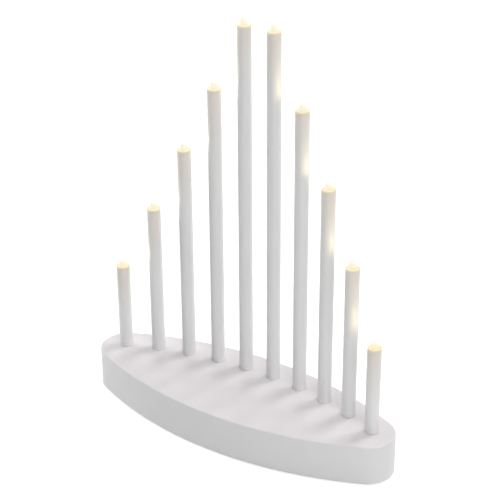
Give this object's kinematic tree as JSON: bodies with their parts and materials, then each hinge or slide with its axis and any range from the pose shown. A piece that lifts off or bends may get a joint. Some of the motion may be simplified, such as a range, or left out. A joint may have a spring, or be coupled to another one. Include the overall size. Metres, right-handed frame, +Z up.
{
  "type": "led candle holder",
  "caption": "Free-standing battery LED candle holder: a low oval base with slim white candle tubes on an arc, stepped up to a peak, each tipped with a small warm lamp.",
  "frame": {"origin": "on the table under the middle of the base, at the centre of the bounding box's bottom face", "axes": "+Z up along the candle tubes, +X along the base to its right tip as seen from the front, +Y to the back, where the arc of tubes bulges"},
  "size_m": [0.247, 0.0846, 0.3021],
  "materials": {
    "case_plastic": "matte moulded white",
    "tube_paint": "matte white paint on thin steel tube",
    "holder_plastic": "translucent, lit warm from the lamp",
    "lamp_epoxy": "clear cast epoxy, warm white when lit",
    "cell_sleeve": "printed dark sleeve, bare metal ends",
    "contact_metal": "bright nickel plate",
    "board_laminate": "green solder mask on glass laminate",
    "chip_plastic": "black moulded package",
    "part_cans": "small metal cans and ceramic chips",
    "switch_metal": "plated sheet frame",
    "knob_plastic": "black moulded",
    "red_insulation": "soft wire insulation",
    "black_insulation": "soft wire insulation",
    "screw_steel": "zinc plated",
    "foot_rubber": "soft grey"
  },
  "bodies": {
    "holder": {"candle_tube_1": "tube_paint", "candle_tube_2": "tube_paint", "candle_tube_3": "tube_paint", "candle_tube_4": "tube_paint", "candle_tube_5": "tube_paint", "candle_tube_6": "tube_paint", "candle_tube_7": "tube_paint", "candle_tube_8": "tube_paint", "candle_tube_9": "tube_paint", "candle_tube_10": "tube_paint", "led_holder_1": "holder_plastic", "led_holder_2": "holder_plastic", "led_holder_3": "holder_plastic", "led_holder_4": "holder_plastic", "led_holder_5": "holder_plastic", "led_holder_6": "holder_plastic", "led_holder_7": "holder_plastic", "led_holder_8": "holder_plastic", "led_holder_9": "holder_plastic", "led_holder_10": "holder_plastic", "led_1": "lamp_epoxy", "led_2": "lamp_epoxy", "led_3": "lamp_epoxy", "led_4": "lamp_epoxy", "led_5": "lamp_epoxy", "led_6": "lamp_epoxy", "led_7": "lamp_epoxy", "led_8": "lamp_epoxy", "led_9": "lamp_epoxy", "led_10": "lamp_epoxy", "base_shell": "case_plastic", "base_cover": "case_plastic", "battery_1": "cell_sleeve", "battery_2": "cell_sleeve", "battery_3": "cell_sleeve", "output_contact_positive": "contact_metal", "output_contact_negative": "contact_metal", "bridge_contact_left": "contact_metal", "bridge_contact_right": "contact_metal", "contact_springs": "contact_metal", "control_board": "board_laminate", "timer_chip": "chip_plastic", "board_parts": "part_cans", "switch_body": "switch_metal", "positive_wiring": "red_insulation", "negative_wiring": "black_insulation", "battery_leads": "red_insulation", "cover_screws": "screw_steel", "board_screws": "screw_steel", "feet": "foot_rubber"},
    "door": {"battery_door": "case_plastic"},
    "knob": {"switch_knob": "knob_plastic"}
  },
  "joints": [
    {"name": "battery_door_hinge", "type": "hinge", "parent": "holder", "child": "door", "pos_m": [-0.0289, -0.01036, 0.002], "axis": [0, 1, 0], "range_deg": [0, 95]},
    {"name": "switch_slide", "type": "slide", "parent": "holder", "child": "knob", "axis": [1, 0, 0], "range_m": [-0.002, 0.002]}
  ]
}
